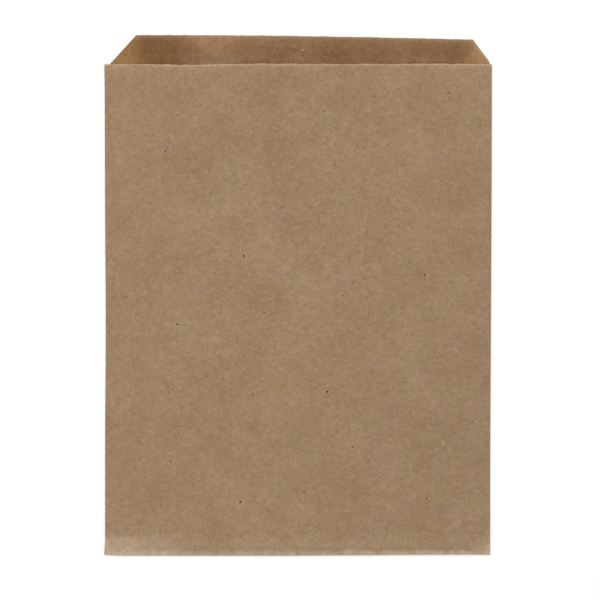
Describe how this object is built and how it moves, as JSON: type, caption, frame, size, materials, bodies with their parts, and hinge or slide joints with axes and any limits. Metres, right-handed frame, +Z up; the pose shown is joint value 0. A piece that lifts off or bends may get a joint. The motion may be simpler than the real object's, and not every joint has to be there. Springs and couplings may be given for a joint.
{
  "type": "flat paper bag",
  "caption": "Flat brown kraft paper bag lying on its back, with a toothed mouth, a taller back lip with slanted corners, a lap seam behind and a folded, glued foot.",
  "frame": {"origin": "on the surface that the bag lies on, under the middle of its outline", "axes": "+X across the bag to its right as seen from the front, +Y from the bottom fold towards the mouth, +Z up out of the front panel"},
  "size_m": [0.216, 0.2904, 0.0057],
  "materials": {
    "kraft_paper": "matte"
  },
  "bodies": {
    "root": {"paper_bag": "kraft_paper"}
  },
  "joints": []
}
